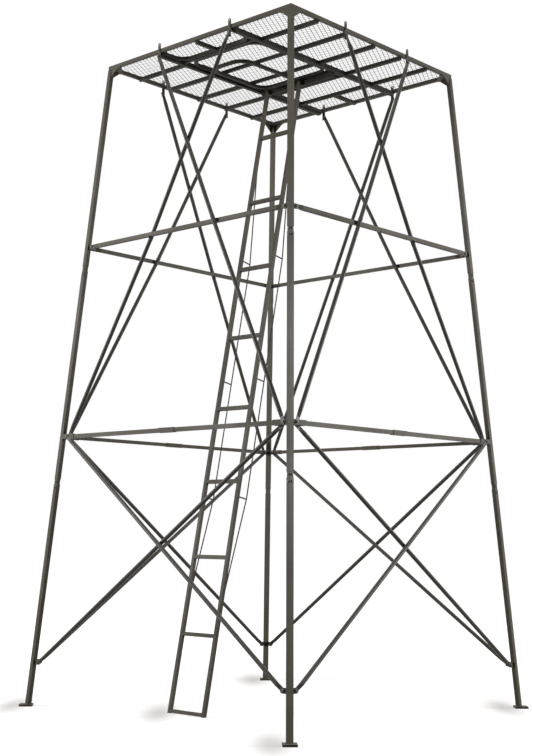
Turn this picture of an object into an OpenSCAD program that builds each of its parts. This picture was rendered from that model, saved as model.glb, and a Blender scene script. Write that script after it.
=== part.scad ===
// Portable hunting tower: four stacked square-tube legs, two rings of girts,
// crossed braces, an expanded-metal deck with a hinged hatch, and a leaning ladder.
// Millimetres, +Z up, feet on z = 0. X runs along the ladder rungs, +Y to the back.

/* [Overall] */
// height of the deck rails' top above the ground
deck_h = 3658; // [2400:1:4900]
// outer width of the square deck
deck_w = 1426; // [1100:1:1800]
// spacing of the leg centres at the ground
base_w = 1932; // [1500:1:2600]

/* [Tubes] */
// side of the square leg tube
leg_tube = 25; // [22:1:50]
// side of the square girt tube
girt_tube = 21; // [16:1:30]
// diameter of the round brace tube
brace_d = 22; // [14:1:26]
// side of the square deck rail tube
rail_tube = 20; // [16:1:32]
// side of the square joist tube
joist_tube = 19; // [15:1:28]
// side of the square frame tube of the hatch and panels
panel_tube = 18; // [14:1:26]

/* [Levels] */
// height of the lower ring of girts, as a part of the deck height
ring1_part = 0.4065; // [0.3:0.01:0.5]
// height of the upper ring of girts, as a part of the deck height
ring2_part = 0.7045; // [0.6:0.01:0.85]
// height of the bottom brace tabs, as a part of the deck height
tab_part = 0.0652; // [0.04:0.001:0.12]

/* [Deck] */
// distance of each deck beam from the middle
beam_x = 290; // [220:1:380]
// distance of each brace hook from the middle of its side
hook_x = 275; // [200:1:340]
// spacing of the deck joists
joist_gap = 241.5; // [180:0.5:300]
// depth of the deck mesh sheet
mesh_t = 3; // [2:0.5:5]
// corner radius of the hatch and panel frames
loop_r = 90; // [50:1:120]
// depth of the fixed panel in front of the hatch, from the rail's inside
front_panel_l = 185; // [140:1:240]
// where the cross bar behind the hatch starts, behind the middle
back_bar_y = 138; // [60:1:160]

/* [Ladder] */
// middle of the ladder across the tower
ladder_x = -91; // [-100:1:100]
// spacing of the ladder stiles, centre to centre
ladder_w = 256; // [200:1:300]
// where the ladder stands on the ground, behind the middle
ladder_y = -596; // [-800:1:-300]
// side of the square stile tube
stile = 20; // [16:1:30]
// side of the square rung tube
rung = 20; // [14:1:26]
// number of steps from the ground to the deck
steps = 9; // [6:1:12]

/* [Hidden] */
$fn = 48;
B = base_w / 2;
T = deck_w / 2 - leg_tube / 2;
S = (B - T) / deck_h;
lean = atan(S);
H = deck_h;
lt = leg_tube;
joint1 = H / 3;
joint2 = 2 * H / 3;
z_ring1 = H * ring1_part;
z_ring2 = H * ring2_part;
z_tab = H * tab_part;
// clearance between pieces that lie on each other, and between a bent brace and a girt
lay = 0.2;
pass_gap = 1.2;
// the narrowed foot of a leg section, which sits on the section below
swage_l = 28;
swage_in = 1.5;
// foot plates and brace tabs
foot_t = 11;
foot_w = 70;
foot_in = 26;
foot_out = 46;
ear_t = 4;
low_ear_h = 27;
low_ear_l = 46;
high_ear_h = 26;
high_ear_l = 44;
// sockets of the lower ring, and where the braces are bolted to them
root = 4;
socket_wall = 3;
socket_l = 105;
collar = girt_tube + 2 * socket_wall;
ear_bolt = 26;
lower_bolt = 50;
upper_bolt = 30;
// flattened brace ends and the sleeve at an upper brace's bend
flat_t = 3;
flat_w = 22;
taper_l = 34;
sleeve_d = brace_d + 2;
sleeve_l = 26;
weave = 3.35;
// upper girt ends
girt_flat = [5, 24, 38];
girt_flat_in = 60;
girt_taper = 26;
// deck
half = deck_w / 2;
inner = half - rail_tube;
deck_z = H - 12;
joist_d = 21;
beam_d = 28;
beam_w = 22;
tip_in = 7;
tip_l = 16;
back_bar_d = 50;
sheet_lap = 6;
plate_t = 3;
plate_l = 92;
plate_w = 20;
gusset_t = 3;
gusset_l = 84;
gusset_h = 46;
strap_t = 4;
strap_w = 20;
strap_low = 68;
strap_bolt = 47;
eye_z = 25;
eye_r = 4.5;
eye_w = 17;
// hatch
hatch_gap = 11;
hatch_end_gap = 5;
front_bar_y = -inner + front_panel_l;
hatch_x = beam_x - beam_w / 2 - hatch_gap;
hatch_y0 = front_bar_y + hatch_end_gap;
hatch_y1 = back_bar_y - hatch_end_gap;
hatch_loop_t = 18;
hinge_x = -hatch_x - 6;
hinge_z = H - 4;
hinge_y = [(hatch_y0 + hatch_y1) / 2 - 145, (hatch_y0 + hatch_y1) / 2 + 145];
pin_r = 4;
pin_fit = 0.05;
knuckle_r = 7;
knuckle_l = 50;
hinge_l = 90;
leaf_t = 2.8;
// ladder
ladder_top_z = H - 36;
ladder_y1 = back_bar_y - lay - stile / 2 / cos(atan2(back_bar_y - ladder_y, ladder_top_z));
ladder_a = atan2(ladder_y1 - ladder_y, ladder_top_z);
step = H / (steps - 0.143);
truss_r = 3.5;
truss_y = 75;
olive = [0.27, 0.26, 0.22];
dark = [0.2, 0.2, 0.17];

function U(z) = B - S * z;
function V(z) = z / cos(lean);
// a point of the front side in the side's own frame: across, up the slope, outward
function onside(p) = [p.x, (p.y + B) * sin(lean) + p.z * cos(lean),
                      p.z * sin(lean) - (p.y + B) * cos(lean)];

// the frame of one leaning side: x across, y up the slope, z outward
module side(k) {
    rotate([0, 0, 90 * k]) translate([0, -B, 0]) rotate([90 - lean, 0, 0]) children();
}

// children along the line from a to b
module along(a, b) {
    d = b - a;
    translate(a) rotate([0, acos(d.z / norm(d)), atan2(d.y, d.x)]) children();
}

module rod(a, b, r) {
    along(a, b) cylinder(r = r, h = norm(b - a));
}

// the leaning square bar of the front right leg between two levels
module leg_bar(z0, z1, w) {
    intersection() {
        translate([B, -B, 0]) rotate(a = atan(S * sqrt(2)), v = [-S, -S, 0])
            translate([-w / 2, -w / 2, -200]) cube([w, w, H * 1.1 + 400]);
        translate([0, -2 * B, z0]) cube([2 * B, 2 * B, z1 - z0]);
    }
}

// a welded socket that takes a girt's end; m is the end of the side it stands at
module socket(m) {
    u = U(z_ring1);
    hole = girt_tube + 2 * lay;
    translate([0, V(z_ring1), 0]) difference() {
        translate([m > 0 ? u - socket_l : -u + lt / 2 - root, -collar / 2, -collar / 2])
            cube([socket_l - lt / 2 + root, collar, collar]);
        translate([m > 0 ? u - socket_l - 1 : -u + lt / 2 + 2, -hole / 2, -hole / 2])
            cube([socket_l - lt / 2 - 1, hole, hole]);
    }
}

// a flat tab on a leg, its inner end rounded
module tab(m, z, reach, h, w0, t) {
    u = U(z);
    translate([0, V(z), w0]) {
        translate([m > 0 ? u - reach + h / 2 : -u + lt / 2 - root, -h / 2, 0])
            cube([reach - h / 2 - lt / 2 + root, h, t]);
        translate([m * (u - reach + h / 2), 0, 0]) cylinder(d = h, h = t);
    }
}

module foot_plate() {
    translate([B, -B, 0]) rotate([0, 0, -45])
        translate([-foot_in, -foot_w / 2, 0]) cube([foot_in + foot_out, foot_w, foot_t]);
}

// a leg section whose narrowed foot sits on the section below
module leg_section(z0, z1) {
    leg_bar(z0, z0 + swage_l + 1, lt - 2 * swage_in);
    leg_bar(z0 + swage_l, z1, lt);
}

module leg_lower(k) {
    color(olive) rotate([0, 0, 90 * k]) {
        leg_bar(foot_t - 1, joint1, lt);
        foot_plate();
        side(0) tab(1, z_tab, lt / 2 + low_ear_l, low_ear_h, -ear_t / 2, ear_t);
        side(1) tab(-1, z_tab, lt / 2 + low_ear_l, low_ear_h, -ear_t / 2, ear_t);
    }
}

module leg_middle(k) {
    color(olive) rotate([0, 0, 90 * k]) {
        leg_section(joint1, joint2);
        side(0) socket(1);
        side(1) socket(-1);
    }
}

module leg_upper(k) {
    color(olive) rotate([0, 0, 90 * k]) {
        leg_section(joint2, H - rail_tube - plate_t);
        side(0) tab(1, z_ring2, lt / 2 + high_ear_l, high_ear_h, -ear_t - lay, ear_t);
        side(1) tab(-1, z_ring2, lt / 2 + high_ear_l, high_ear_h, -ear_t - lay, ear_t);
    }
}

module lower_girt(k) {
    g = girt_tube;
    splice = g + 4;
    u = U(z_ring1) - lt / 2 - root;
    color(olive) side(k) translate([0, V(z_ring1), 0]) {
        translate([-u, -g / 2, -g / 2]) cube([2 * u, g, g]);
        translate([-60, -splice / 2, -splice / 2]) cube([120, splice, splice]);
    }
}

// an upper girt's end, flattened where it lies on the leg's tab
module girt_end(u) {
    g = girt_tube;
    t = girt_flat;
    translate([u - girt_flat_in, -t.y / 2, 0]) cube([t.z, t.y, t.x]);
    hull() {
        translate([u - girt_flat_in, -t.y / 2, 0]) cube([1, t.y, t.x]);
        translate([u - girt_flat_in - girt_taper, -g / 2, -g / 2]) cube([1, g, g]);
    }
}

module upper_girt(k) {
    g = girt_tube;
    u = U(z_ring2);
    l = u - girt_flat_in - girt_taper + 1;
    color(olive) side(k) translate([0, V(z_ring2), 0]) {
        translate([-l, -g / 2, -g / 2]) cube([2 * l, g, g]);
        girt_end(u);
        mirror([1, 0, 0]) girt_end(u);
    }
}

// a flattened tube end at a bolt: the flat from w0, opening to the round tube at dist
module flat_end(p, ang, w0, reach, dist, wr) {
    translate([p.x, p.y, 0]) rotate([0, 0, ang]) {
        translate([0, -flat_w / 2, w0]) cube([reach, flat_w, flat_t]);
        translate([0, 0, w0]) cylinder(d = flat_w, h = flat_t);
        hull() {
            translate([reach - 1, -flat_w / 2, w0]) cube([1, flat_w, flat_t]);
            translate([dist, 0, wr]) rotate([0, 90, 0]) cylinder(d = brace_d - 1, h = 3, $fn = 32);
        }
    }
}

// one lower brace: low on the + leg's tab outside, up to the - leg's socket
module lower_brace() {
    b = [U(z_tab) - lt / 2 - ear_bolt, V(z_tab)];
    t = [lower_bolt - U(z_ring1), V(z_ring1)];
    a = atan2(t.y - b.y, t.x - b.x);
    e = [cos(a), sin(a)];
    cb = brace_d / 2 + 0.05 - weave;
    ct = brace_d / 2 + 0.05 + weave;
    lb = 10 + taper_l;
    tb = 42 + taper_l;
    flat_end(b, a, ear_t / 2 + lay, 20, lb, cb);
    flat_end(t, a + 180, collar / 2 + lay, 42, tb, ct);
    rod([b.x + lb * e.x, b.y + lb * e.y, cb], [t.x - tb * e.x, t.y - tb * e.y, ct], brace_d / 2);
}

module lower_braces(k, m) {
    color(olive) side(k) mirror([m > 0 ? 0 : 1, 0, 0]) {
        lower_brace();
        rotate([0, 180, 0]) lower_brace();
    }
}

// one upper brace: from the + leg's socket past the upper girt to the far hook strap;
// o is 1 outside the girt and -1 behind it
module upper_brace(o) {
    b = [U(z_ring1) - upper_bolt, V(z_ring1)];
    hk = onside([-hook_x, -half - strap_t, H - strap_bolt]);
    t = [hk.x, hk.y];
    f = (z_ring2 - z_ring1) / (H - strap_bolt - z_ring1);
    k = [b.x + f * (t.x - b.x), V(z_ring2), o * (girt_tube / 2 + sleeve_d / 2 + pass_gap)];
    a = atan2(t.y - b.y, t.x - b.x);
    e = [cos(a), sin(a)];
    w0 = o > 0 ? collar / 2 + lay : -collar / 2 - lay - flat_t;
    wb = w0 + flat_t / 2;
    wt = hk.z + lay + 1;
    lb = 30 + taper_l;
    tb = 28 + taper_l;
    pb = [b.x + lb * e.x, b.y + lb * e.y, wb];
    pt = [t.x - tb * e.x, t.y - tb * e.y, wt + flat_t / 2];
    flat_end(b, a, w0, 30, lb, wb);
    flat_end(t, a + 180, wt, 28, tb, wt + flat_t / 2);
    g = (k - pb) / norm(k - pb);
    h = (pt - k) / norm(pt - k);
    rod(pb, k - 5 * g, brace_d / 2);
    rod(k + 5 * h, pt, brace_d / 2);
    rod(k - sleeve_l * g, k + sleeve_l * h, sleeve_d / 2);
}

module upper_braces(k, m) {
    color(olive) side(k) mirror([m > 0 ? 0 : 1, 0, 0]) {
        upper_brace(1);
        mirror([1, 0, 0]) upper_brace(-1);
    }
}

module deck_rail(k) {
    long = (k == 0 || k == 2);
    l = long ? half : inner;
    color(olive) rotate([0, 0, 90 * k])
        translate([-l, -half, H - rail_tube]) cube([2 * l, rail_tube, rail_tube]);
}

// a bar along y whose lower part runs on under the rails to pointed ends
module through_bar(w, d) {
    i = inner - lay;
    z0 = deck_z - d;
    z1 = H - rail_tube - lay;
    tip = half - tip_in;
    translate([-w / 2, 0, 0]) rotate([90, 0, 90]) linear_extrude(w)
        polygon([[-i, deck_z], [-i, z1], [-tip, z1], [tip_l - tip, z0],
                 [tip - tip_l, z0], [tip, z1], [i, z1], [i, deck_z]]);
}

module deck_beam(m) {
    color(dark) translate([m * beam_x, 0, 0]) through_bar(beam_w, beam_d);
}

module side_joists(m) {
    x0 = beam_x + beam_w / 2 + lay;
    j = joist_tube;
    color(dark) for (i = [-2:2]) intersection() {
        translate([0, i * joist_gap, 0]) {
            if (abs(i) == 2) rotate([0, 0, 90]) through_bar(j, joist_d);
            else translate([-inner + lay, -j / 2, deck_z - joist_d])
                cube([2 * (inner - lay), j, joist_d]);
        }
        translate([m > 0 ? x0 : -x0 - half, -half, H - 100]) cube([half, 2 * half, 100]);
    }
}

// flat outline with round corners, its low corner at x0, y0
module rounded(x0, y0, x1, y1, r) {
    translate([x0, y0 + r]) square([x1 - x0, y1 - y0 - 2 * r]);
    translate([x0 + r, y0]) square([x1 - x0 - 2 * r, y1 - y0]);
    for (p = [[x0 + r, y0 + r], [x1 - r, y0 + r], [x0 + r, y1 - r], [x1 - r, y1 - r]])
        translate(p) circle(r = r);
}

module loop(x0, y0, x1, y1, r, t) {
    difference() {
        rounded(x0, y0, x1, y1, r);
        rounded(x0 + t, y0 + t, x1 - t, y1 - t, r - t);
    }
}

module front_panel_frame() {
    x = beam_x - beam_w / 2 - lay;
    y1 = front_bar_y - joist_tube;
    color(dark) {
        translate([0, 0, deck_z - panel_tube]) intersection() {
            linear_extrude(panel_tube) loop(-x, y1 - 400, x, y1, loop_r, panel_tube);
            translate([-x, -inner + lay, 0]) cube([2 * x, 300, panel_tube]);
        }
        translate([-x, y1, deck_z - joist_d]) cube([2 * x, joist_tube, joist_d]);
        translate([-joist_tube / 2, -inner + lay, deck_z - joist_d])
            cube([joist_tube, inner - lay + y1 - panel_tube + 1, joist_d]);
    }
}

module back_panel_frame() {
    x = beam_x - beam_w / 2 - lay;
    y0 = back_bar_y + joist_tube;
    xi = x - panel_tube + 1;
    color(dark) {
        translate([0, 0, deck_z - panel_tube]) intersection() {
            linear_extrude(panel_tube) loop(-x, y0, x, y0 + 800, loop_r, panel_tube);
            translate([-x, y0, 0]) cube([2 * x, inner - lay - y0, panel_tube]);
        }
        translate([-x, back_bar_y, deck_z - back_bar_d]) cube([2 * x, joist_tube, back_bar_d]);
        for (i = [1, 2]) translate([-xi, i * joist_gap - joist_tube / 2, deck_z - joist_d])
            cube([2 * xi, joist_tube, joist_d]);
        translate([-joist_tube / 2, 2 * joist_gap, deck_z - joist_d])
            cube([joist_tube, inner - lay - 2 * joist_gap, joist_d]);
    }
}

// one upright gusset of a corner bracket: across from the corner, and down from the plate
module gusset(z1) {
    rotate([90, 0, 0]) linear_extrude(gusset_t)
        polygon([[half - 10, z1 - 1], [half - gusset_l, z1 - 1],
                 [half - lt, z1 - gusset_h], [half - 10, z1 - gusset_h]]);
}

module corner_bracket() {
    z1 = H - rail_tube;
    difference() {
        union() {
            translate([0, 0, z1 - plate_t]) linear_extrude(plate_t)
                polygon([[half, -half], [half - plate_l, -half], [half - plate_l, plate_w - half],
                         [half - plate_w, plate_l - half], [half, plate_l - half]]);
            translate([0, gusset_t - half, 0]) gusset(z1);
            rotate([0, 0, 90]) mirror([1, 0, 0]) translate([0, gusset_t - half, 0]) gusset(z1);
        }
        leg_bar(z1 - 200, z1 - plate_t, lt);
        translate([half - lt + gusset_t, -half - 1, z1 - 200]) cube([lt, lt - 2, 200 - plate_t]);
    }
}

module corner_brackets() {
    color(olive) for (k = [0:3]) rotate([0, 0, 90 * k]) corner_bracket();
}

// a flat strap on the rail's outside that stands above it and ends in an eye
module hook_strap() {
    rotate([90, 0, 0]) linear_extrude(strap_t) difference() {
        union() {
            translate([-strap_w / 2, -strap_low]) square([strap_w, strap_low]);
            polygon([[-strap_w / 2, -1], [strap_w / 2, -1], [eye_w / 2, eye_z], [-eye_w / 2, eye_z]]);
            translate([0, eye_z]) circle(d = eye_w);
        }
        translate([0, eye_z]) circle(r = eye_r);
    }
}

module hook_straps() {
    color(olive) for (k = [0:3]) rotate([0, 0, 90 * k])
        for (m = [-1, 1]) translate([m * hook_x, -half, H]) hook_strap();
}

module leaf_cut(y) {
    translate([hinge_x - 28, y - hinge_l / 2 - 1, deck_z - 1]) cube([54, hinge_l + 2, mesh_t + 2]);
}

module deck_mesh_side(m) {
    x0 = beam_x - sheet_lap;
    color(dark) difference() {
        translate([m > 0 ? x0 : -inner + lay, -inner + lay, deck_z])
            cube([inner - lay - x0, 2 * (inner - lay), mesh_t]);
        if (m < 0) for (y = hinge_y) leaf_cut(y);
    }
}

module deck_mesh_front() {
    x = beam_x - sheet_lap - 0.5;
    color(dark) translate([-x, -inner + lay, deck_z]) cube([2 * x, inner - lay + front_bar_y, mesh_t]);
}

module deck_mesh_back() {
    x = beam_x - sheet_lap - 0.5;
    color(dark) translate([-x, back_bar_y, deck_z]) cube([2 * x, inner - lay - back_bar_y, mesh_t]);
}

// a round hinge part on the hinge's axis, from y towards the back
module barrel(y, l, r) {
    translate([hinge_x, y + l, hinge_z]) rotate([90, 0, 0]) cylinder(r = r, h = l);
}

module hatch_frame() {
    t = panel_tube;
    k = knuckle_l;
    color(olive) {
        translate([0, 0, deck_z - t]) linear_extrude(t)
            loop(-hatch_x, hatch_y0, hatch_x, hatch_y1, loop_r, t);
        for (y = [-joist_gap, 0]) translate([-hatch_x + t - 1, y - t / 2, deck_z - t])
            cube([2 * (hatch_x - t + 1), t, t]);
        for (y = hinge_y) difference() {
            union() {
                barrel(y - k / 2, k, knuckle_r);
                translate([hinge_x, y - k / 2, deck_z - 1]) cube([24, k, leaf_t + 1]);
            }
            barrel(y - k / 2 - 1, k + 2, pin_r + pin_fit);
            translate([hinge_x - 1, y - k / 2 - 1, deck_z - 2]) cube([7, k + 2, 2]);
        }
    }
}

module hatch_mesh() {
    color(dark) difference() {
        translate([0, 0, deck_z]) linear_extrude(mesh_t)
            rounded(-hatch_x + 1, hatch_y0 + 1, hatch_x - 1, hatch_y1 - 1, loop_r - 1);
        for (y = hinge_y) leaf_cut(y);
    }
}

// a round-cornered loop under the hatch, as wide as the ladder
module hatch_loop() {
    t = hatch_loop_t;
    x = ladder_w / 2 + stile / 2;
    color(olive) translate([0, 0, deck_z - panel_tube - t]) linear_extrude(t)
        loop(ladder_x - x, hatch_y0 + 128, ladder_x + x, hatch_y1 - 38, loop_r, t);
}

module hatch_hinges() {
    k = knuckle_l / 2 + 0.5;
    l = hinge_l / 2 - k;
    color(dark) for (y = hinge_y) {
        barrel(y - hinge_l / 2, hinge_l, pin_r);
        for (e = [y - hinge_l / 2, y + k]) {
            barrel(e, l, knuckle_r);
            translate([hinge_x - 10, e, deck_z]) cube([10, l, leaf_t]);
        }
        translate([hinge_x - 26, y - hinge_l / 2, deck_z]) cube([18, hinge_l, leaf_t]);
    }
}

// the ladder's own frame: x along the rungs, y behind the stiles, z up the slope
module ladder_frame() {
    translate([ladder_x, ladder_y, 0]) rotate([-ladder_a, 0, 0]) children();
}

module ladder_stile(m) {
    l = H / cos(ladder_a);
    color(olive) for (i = [0:2]) intersection() {
        ladder_frame() translate([m * ladder_w / 2 - stile / 2, -stile / 2, i == 0 ? -100 : i * l / 3])
            cube([stile, stile, i == 0 ? l / 3 + 100 : l / 3]);
        translate([-half, -B, 0]) cube([2 * half, 2 * B, ladder_top_z]);
    }
}

module ladder_rungs() {
    x = ladder_w / 2 - stile / 2 - lay;
    color(olive) for (i = [0:steps - 1]) {
        z = i == 0 ? rung / 2 / cos(ladder_a) + 1 : i * step / cos(ladder_a);
        intersection() {
            ladder_frame() translate([-x, -rung / 2, z - rung / 2]) cube([2 * x, rung, rung]);
            translate([-half, -B, 0]) cube([2 * half, 2 * B, H]);
        }
    }
}

// a bent rod behind a stile, held off it by three short posts
module ladder_truss(m) {
    r = truss_r;
    l = H / cos(ladder_a);
    x = m * ladder_w / 2;
    y0 = stile / 2 + r + 0.4;
    p = [[x, y0, 0.1758 * l], [x, truss_y, 0.316 * l], [x, truss_y, 0.4967 * l],
         [x, truss_y, 0.6944 * l], [x, y0, 0.8483 * l]];
    color(dark) ladder_frame() {
        for (i = [0:3]) rod(p[i], p[i + 1], r);
        for (i = [0:4]) translate(p[i]) sphere(r = r + 0.4);
        for (i = [1:3]) translate([x, stile / 2, p[i].z]) rotate([-90, 0, 0])
            cylinder(r = r + 0.5, h = truss_y - stile / 2);
    }
}

leg_lower(0);  // leg_front_right_lower
leg_lower(1);  // leg_back_right_lower
leg_lower(2);  // leg_back_left_lower
leg_lower(3);  // leg_front_left_lower
leg_middle(0);  // leg_front_right_middle
leg_middle(1);  // leg_back_right_middle
leg_middle(2);  // leg_back_left_middle
leg_middle(3);  // leg_front_left_middle
leg_upper(0);  // leg_front_right_upper
leg_upper(1);  // leg_back_right_upper
leg_upper(2);  // leg_back_left_upper
leg_upper(3);  // leg_front_left_upper
lower_girt(0);  // lower_girt_front
lower_girt(1);  // lower_girt_right
lower_girt(2);  // lower_girt_back
lower_girt(3);  // lower_girt_left
upper_girt(0);  // upper_girt_front
upper_girt(1);  // upper_girt_right
upper_girt(2);  // upper_girt_back
upper_girt(3);  // upper_girt_left
lower_braces(0, 1);  // lower_braces_front
lower_braces(1, -1);  // lower_braces_right
lower_braces(2, 1);  // lower_braces_back
lower_braces(3, -1);  // lower_braces_left
upper_braces(0, 1);  // upper_braces_front
upper_braces(1, -1);  // upper_braces_right
upper_braces(2, 1);  // upper_braces_back
upper_braces(3, -1);  // upper_braces_left
deck_rail(0);  // deck_rail_front
deck_rail(1);  // deck_rail_right
deck_rail(2);  // deck_rail_back
deck_rail(3);  // deck_rail_left
deck_beam(-1);  // deck_beam_left
deck_beam(1);  // deck_beam_right
side_joists(-1);  // side_joists_left
side_joists(1);  // side_joists_right
front_panel_frame();
back_panel_frame();
corner_brackets();
hook_straps();
deck_mesh_side(-1);  // deck_mesh_left
deck_mesh_side(1);  // deck_mesh_right
deck_mesh_front();
deck_mesh_back();
hatch_frame();
hatch_mesh();
hatch_loop();
hatch_hinges();
ladder_stile(-1);  // ladder_stile_left
ladder_stile(1);  // ladder_stile_right
ladder_rungs();
ladder_truss(-1);  // ladder_truss_left
ladder_truss(1);  // ladder_truss_right
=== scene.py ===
"""Looks of a free-standing steel hunting tower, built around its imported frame.

Every size is in metres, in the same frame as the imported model: X runs along the ladder
rungs, +Y to the back and +Z up, with the feet on the ground.
"""
import logging
import math
from dataclasses import dataclass, field
from enum import Enum
from random import Random
from typing import Callable, Sequence

import bmesh
import bpy
from mathutils import Matrix, Vector


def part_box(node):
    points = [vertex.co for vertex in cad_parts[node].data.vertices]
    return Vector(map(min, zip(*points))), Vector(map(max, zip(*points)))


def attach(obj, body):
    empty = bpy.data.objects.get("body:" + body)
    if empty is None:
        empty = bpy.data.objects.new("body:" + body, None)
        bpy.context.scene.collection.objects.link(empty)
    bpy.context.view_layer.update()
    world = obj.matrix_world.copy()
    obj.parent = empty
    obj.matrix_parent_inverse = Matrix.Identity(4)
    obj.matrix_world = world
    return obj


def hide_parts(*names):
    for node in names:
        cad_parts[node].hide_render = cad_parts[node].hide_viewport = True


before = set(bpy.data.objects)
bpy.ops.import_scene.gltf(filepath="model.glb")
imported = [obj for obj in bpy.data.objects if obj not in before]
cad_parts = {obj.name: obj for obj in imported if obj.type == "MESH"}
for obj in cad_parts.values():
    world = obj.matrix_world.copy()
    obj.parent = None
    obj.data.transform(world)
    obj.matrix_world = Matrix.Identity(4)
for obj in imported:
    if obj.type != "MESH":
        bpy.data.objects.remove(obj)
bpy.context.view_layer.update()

TOWER = "tower"
HATCH = "hatch"
LOG = logging.getLogger("tower")
Colour = tuple[float, float, float]
Triple = tuple[float, float, float]
PanelTest = Callable[[float, float], bool]

FOOT_OUT = 0.046            # a foot plate's reach outward from the leg's centre
FOOT_HALF_WIDTH = 0.035
FOOT_THICK = 0.011
SOCKET_SIZE = 0.027         # outer size of the sockets that hold the lower girts
LOWER_BRACE_BOLT = 0.050    # distances of the socket's bolts from the leg's centre
UPPER_BRACE_BOLT = 0.030
TAB_BOLT = 0.026            # distance of a tab's bolt from the leg's face
HOOK_X = 0.275              # distance of the hook straps from a side's middle
STRAP_THICK = 0.004
STRAP_DROP = 0.047          # depth of a strap's brace bolt under the rail tops
SWAGE_INSET = 0.0015        # how much narrower a leg section's foot is on each face
JOIST_GAP = 0.2415
SIDE_JOISTS = 5
BEAM_FACE_X = 0.3012        # outer face of a deck beam
JOIST_HALF = 0.009
JOIST_FOOT = 0.033          # depth of a joist's lower face under the rail tops
RUNG_STEPS = 9
TOP_STEP_CUT = 0.143        # share of a step that the deck takes from the last one
TUBE_HALF = 0.0102          # half a stile's or rung's width, with a weld's seat
SMOOTH_LIMIT = math.radians(40)


class Slot(Enum):
    """Names of two material slots."""

    FRAME = "frame_paint"
    MESH = "mesh_paint"


# ---------------------------------------------------------------- shared shader effects


class NodeGroup:
    """A shader node group with named inputs and outputs, built once."""

    def __init__(self, name: str, inputs: dict[str, object], outputs: dict[str, str]) -> None:
        """Makes the empty group and its sockets.

        Args:
            name: the group's name.
            inputs: default value of each input: a float, a vector of 3 or a colour of 4.
            outputs: socket type of each output, "NodeSocketFloat" or "NodeSocketColor".
        """
        kinds = {1: "NodeSocketFloat", 3: "NodeSocketVector", 4: "NodeSocketColor"}
        self.tree = bpy.data.node_groups.new(name, "ShaderNodeTree")
        for label, value in inputs.items():
            kind = kinds[1 if isinstance(value, float) else len(value)]
            socket = self.tree.interface.new_socket(label, in_out="INPUT", socket_type=kind)
            socket.default_value = value
        for label, kind in outputs.items():
            self.tree.interface.new_socket(label, in_out="OUTPUT", socket_type=kind)
        self.enter = self.tree.nodes.new("NodeGroupInput")
        self.leave = self.tree.nodes.new("NodeGroupOutput")

    def node(self, kind: str, **settings: object) -> bpy.types.Node:
        """Adds a node and sets its plain properties.

        Args:
            kind: the node's type name.
            settings: properties to set on it.

        Returns:
            The new node.
        """
        return add_node(self.tree, kind, **settings)

    def link(self, source: bpy.types.NodeSocket, target: bpy.types.NodeSocket) -> None:
        """Joins two sockets."""
        self.tree.links.new(source, target)

    def place_in(self, tree: bpy.types.NodeTree, values: dict[str, object]) -> bpy.types.Node:
        """Places the effect in a material.

        Args:
            tree: the material's node tree.
            values: value of each of its inputs that isn't left alone.

        Returns:
            The group's node.
        """
        node = add_node(tree, "ShaderNodeGroup", node_tree=self.tree)
        set_inputs(node, values)
        return node


def set_inputs(node: bpy.types.Node, values: dict[str, object]) -> None:
    """Sets the default values of a node's inputs.

    Args:
        node: the node.
        values: value of each input, by its name.
    """
    for label, value in values.items():
        node.inputs[label].default_value = value


def add_node(tree: bpy.types.NodeTree, kind: str, **settings: object) -> bpy.types.Node:
    """Adds a node to a tree and sets its plain properties.

    Args:
        tree: the node tree.
        kind: the node's type name.
        settings: properties to set on it.

    Returns:
        The new node.
    """
    node = tree.nodes.new(kind)
    for key, value in settings.items():
        setattr(node, key, value)
    return node


def coat_tone_group() -> NodeGroup:
    """Slow and fine changes of a powder coat's tone along the tubes.

    Returns:
        A group that puts out the varied colour and a roughness.
    """
    group = NodeGroup(
        "coat_tone",
        {"Base": (0.1, 0.1, 0.09, 1.0), "Deep": (0.06, 0.06, 0.05, 1.0), "Scale": 3.0,
         "Amount": 0.5, "Roughness": 0.5},
        {"Colour": "NodeSocketColor", "Roughness": "NodeSocketFloat"},
    )
    place = group.node("ShaderNodeTexCoord")
    broad = group.node("ShaderNodeTexNoise")
    broad.inputs["Detail"].default_value = 4.0
    group.link(place.outputs["Object"], broad.inputs["Vector"])
    group.link(group.enter.outputs["Scale"], broad.inputs["Scale"])
    fine = group.node("ShaderNodeTexNoise")
    set_inputs(fine, {"Scale": 420.0, "Detail": 3.0})
    group.link(place.outputs["Object"], fine.inputs["Vector"])
    both = group.node("ShaderNodeMath", operation="MULTIPLY_ADD")
    group.link(fine.outputs["Fac"], both.inputs[0])
    both.inputs[1].default_value = 0.35
    group.link(broad.outputs["Fac"], both.inputs[2])
    spread = group.node("ShaderNodeMapRange")
    set_inputs(spread, {"From Min": 0.45, "From Max": 0.9})
    group.link(both.outputs[0], spread.inputs["Value"])
    share = group.node("ShaderNodeMath", operation="MULTIPLY", use_clamp=True)
    group.link(spread.outputs["Result"], share.inputs[0])
    group.link(group.enter.outputs["Amount"], share.inputs[1])
    mix = group.node("ShaderNodeMix", data_type="RGBA")
    group.link(share.outputs[0], mix.inputs["Factor"])
    group.link(group.enter.outputs["Base"], mix.inputs[6])
    group.link(group.enter.outputs["Deep"], mix.inputs[7])
    group.link(mix.outputs[2], group.leave.inputs["Colour"])
    rough = group.node("ShaderNodeMath", operation="MULTIPLY_ADD", use_clamp=True)
    group.link(spread.outputs["Result"], rough.inputs[0])
    rough.inputs[1].default_value = 0.14
    group.link(group.enter.outputs["Roughness"], rough.inputs[2])
    group.link(rough.outputs[0], group.leave.inputs["Roughness"])
    return group


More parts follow.
